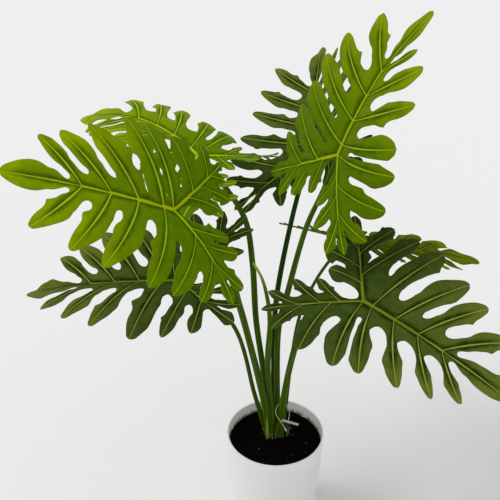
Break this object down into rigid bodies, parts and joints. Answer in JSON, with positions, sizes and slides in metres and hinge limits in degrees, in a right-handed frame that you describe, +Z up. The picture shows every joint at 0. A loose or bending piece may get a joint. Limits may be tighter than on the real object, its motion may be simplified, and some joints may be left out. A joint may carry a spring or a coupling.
{
  "type": "potted plant",
  "caption": "Leafy plant with deeply lobed leaves on long bent stalks, standing in the soil of a plain tapered round pot.",
  "frame": {"origin": "middle of the pot's underside, on the surface that the pot stands on", "axes": "+Z up out of the pot; -Y toward the front of the plant; +X to the right as seen from the front"},
  "size_m": [0.5993, 0.5935, 0.7109],
  "materials": {
    "pot": "smooth, slightly satin white",
    "soil": "fine black crumbly potting soil",
    "leaf_bright": "satin yellow-green leaf with paler veins",
    "leaf_dark": "satin deep green leaf with paler veins",
    "fastener": "translucent white nylon"
  },
  "bodies": {
    "root": {"pot": "pot", "soil": "soil", "leaf_front_left": "leaf_bright", "leaf_back_left": "leaf_bright", "leaf_low_left": "leaf_dark", "leaf_top_right": "leaf_bright", "leaf_top_back": "leaf_dark", "leaf_low_right": "leaf_dark", "leaf_back_right": "leaf_dark", "new_shoot": "leaf_bright", "tag_fastener": "fastener"}
  },
  "joints": []
}
